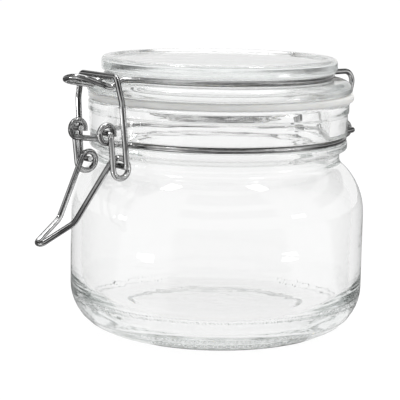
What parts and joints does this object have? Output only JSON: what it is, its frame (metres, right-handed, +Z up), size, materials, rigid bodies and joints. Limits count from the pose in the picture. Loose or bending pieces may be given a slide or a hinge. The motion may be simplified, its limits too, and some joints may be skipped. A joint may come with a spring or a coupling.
{
  "type": "clip-top jar",
  "caption": "Round clear glass preserving jar with a domed shoulder, glass lid on a rubber ring, and a wire bail clip whose handle swings out to release the lid.",
  "frame": {"origin": "on the jar's axis, in the plane that the jar stands on", "axes": "+Z up along the jar's axis; the clip is at -Y and the hinge at +Y; X runs across the clip"},
  "size_m": [0.104, 0.1297, 0.0962],
  "materials": {
    "glass": "clear, polished",
    "lid_glass": "clear, pressed, very faint green tint",
    "rubber": "matt, whitish, a little see-through",
    "wire": "drawn bright steel wire"
  },
  "bodies": {
    "jar": {"jar_body": "glass", "lid": "lid_glass", "seal": "rubber", "neck_wire": "wire", "lid_wire": "wire"},
    "lever": {"lever": "wire"},
    "link": {"link": "wire"}
  },
  "joints": [
    {"name": "lever_swing", "type": "hinge", "parent": "jar", "child": "lever", "pos_m": [0, -0.0529, 0.07307], "axis": [-1, 0, 0], "range_deg": [0, 110]},
    {"name": "link_swing", "type": "hinge", "parent": "lever", "child": "link", "pos_m": [0, -0.0484, 0.06207], "axis": [-1, 0, 0], "range_deg": [-66, 0]}
  ],
  "couplings": [
    {"joint": "link_swing", "follows": "lever_swing", "ratio": -0.6}
  ]
}
